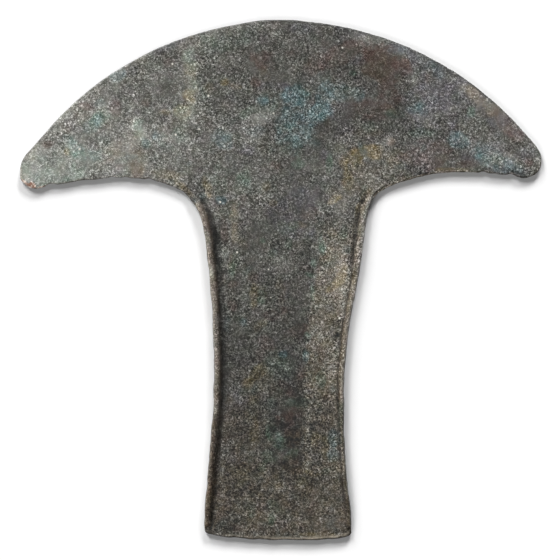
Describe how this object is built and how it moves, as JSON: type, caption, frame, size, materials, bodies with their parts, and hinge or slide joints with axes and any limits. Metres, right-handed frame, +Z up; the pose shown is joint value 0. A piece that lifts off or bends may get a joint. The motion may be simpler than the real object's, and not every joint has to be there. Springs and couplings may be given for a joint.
{
  "type": "copper axe money",
  "caption": "T-shaped thin copper axe money: crescent edge with two horns, and a waisted shank with raised margins. It lies flat on its back.",
  "frame": {"origin": "on the underside, below the middle of the outline's box", "axes": "+X across from the left horn to the right horn, +Y along the shank from the butt to the crest of the edge, +Z up through the sheet, out of the face with the raised margins"},
  "size_m": [0.1401, 0.1398, 0.003],
  "materials": {
    "patinated_copper": "hammered copper under a dull grey-green to brown burial patina"
  },
  "bodies": {
    "root": {"axe_money": "patinated_copper"}
  },
  "joints": []
}
